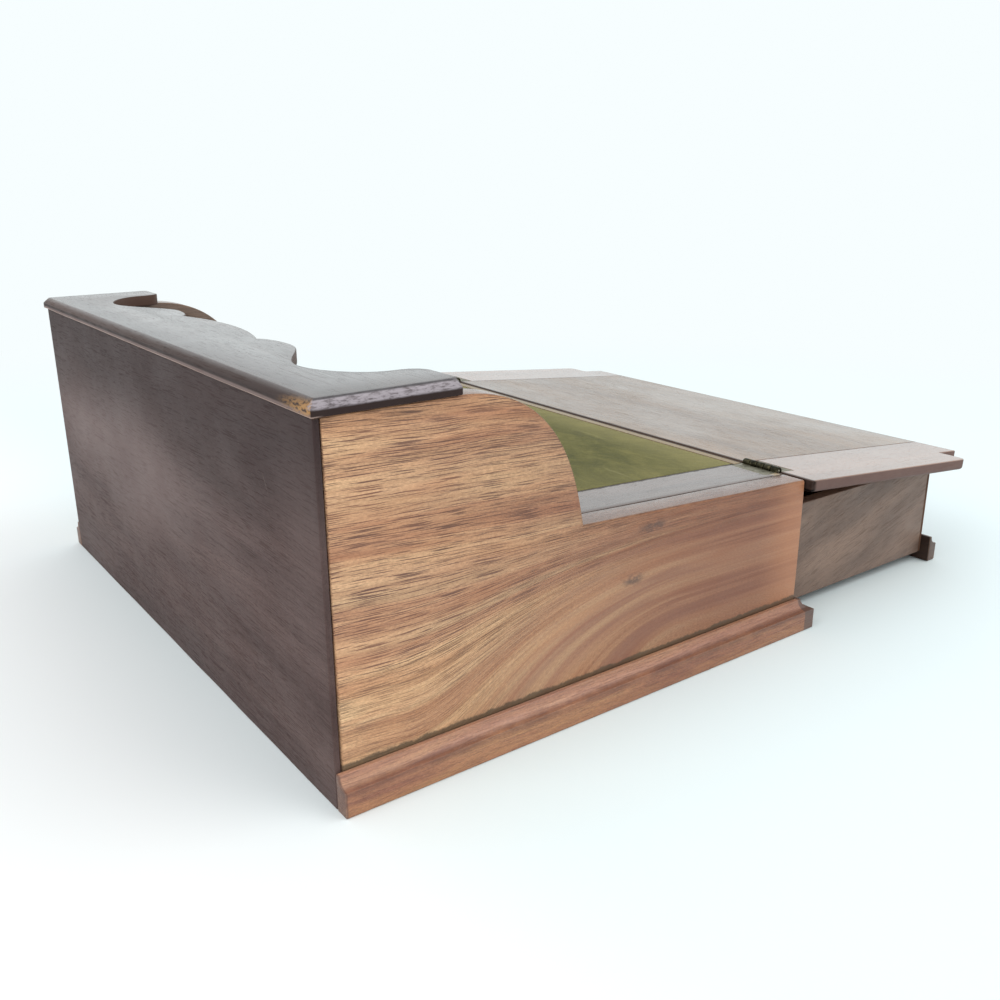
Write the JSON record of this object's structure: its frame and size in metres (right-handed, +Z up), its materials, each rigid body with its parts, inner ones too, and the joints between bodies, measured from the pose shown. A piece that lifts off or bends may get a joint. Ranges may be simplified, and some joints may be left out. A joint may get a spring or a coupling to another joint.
{
  "type": "lap desk",
  "caption": "Wooden lap desk with a scalloped crest over pigeonholes, a baize-lined writing slope, a lid that folds forward on hinges and a drawer that slides out to carry it",
  "frame": {"origin": "on the ground, under the middle of the carcass (its sides, back and front plane, without mouldings, lid and drawer)", "axes": "+Z up; the writer sits on the -Y side, where the lid and the drawer come out; the tall compartment stands at +Y; +X is the writer's right"},
  "size_m": [0.3544, 0.4206, 0.1533],
  "materials": {
    "walnut": "old french polish, golden brown with dark pores",
    "dark_walnut": "old polish, dark purple-brown",
    "moulding_walnut": "polished reddish brown",
    "lid_walnut": "worn polish, pale tan",
    "border_walnut": "polished grey-brown",
    "drawer_walnut": "bare wood, grey-brown",
    "knob_walnut": "polished dark brown",
    "inner_walnut": "thin polish, dull",
    "baize": "worn olive green wool cloth",
    "aged_brass": "tarnished, nearly black"
  },
  "bodies": {
    "carcass": {"back_panel": "dark_walnut", "baize": "baize", "bottom_board": "inner_walnut", "box_leaf_screw_left_1": "aged_brass", "box_leaf_screw_left_2": "aged_brass", "box_leaf_screw_right_1": "aged_brass", "box_leaf_screw_right_2": "aged_brass", "crest_board": "dark_walnut", "front_rail": "walnut", "left_base_moulding": "moulding_walnut", "left_divider": "inner_walnut", "left_hinge_box_leaf": "aged_brass", "left_hinge_pin": "aged_brass", "left_ledger": "inner_walnut", "left_moulding_return": "moulding_walnut", "left_side_panel": "walnut", "pigeonhole_shelf": "inner_walnut", "right_base_moulding": "moulding_walnut", "right_divider": "inner_walnut", "right_hinge_box_leaf": "aged_brass", "right_hinge_pin": "aged_brass", "right_ledger": "inner_walnut", "right_moulding_return": "moulding_walnut", "right_side_panel": "walnut", "writing_panel": "border_walnut"},
    "lid": {"left_hinge_lid_leaf": "aged_brass", "left_lid_cleat": "border_walnut", "lid_board": "lid_walnut", "lid_leaf_screw_left_1": "aged_brass", "lid_leaf_screw_left_2": "aged_brass", "lid_leaf_screw_right_1": "aged_brass", "lid_leaf_screw_right_2": "aged_brass", "right_hinge_lid_leaf": "aged_brass", "right_lid_cleat": "border_walnut"},
    "drawer": {"drawer_back": "drawer_walnut", "drawer_base_moulding": "moulding_walnut", "drawer_bottom": "drawer_walnut", "drawer_front": "walnut", "drawer_left_side": "drawer_walnut", "drawer_right_side": "drawer_walnut", "left_knob": "knob_walnut", "right_knob": "knob_walnut"}
  },
  "joints": [
    {"name": "lid_hinge", "type": "hinge", "parent": "carcass", "child": "lid", "pos_m": [0, -0.13031, 0.07846], "axis": [-1, 0, 0], "range_deg": [0, 182.3]},
    {"name": "drawer_slide", "type": "slide", "parent": "carcass", "child": "drawer", "axis": [0, -1, 0], "range_m": [-0.1358, 0]}
  ]
}
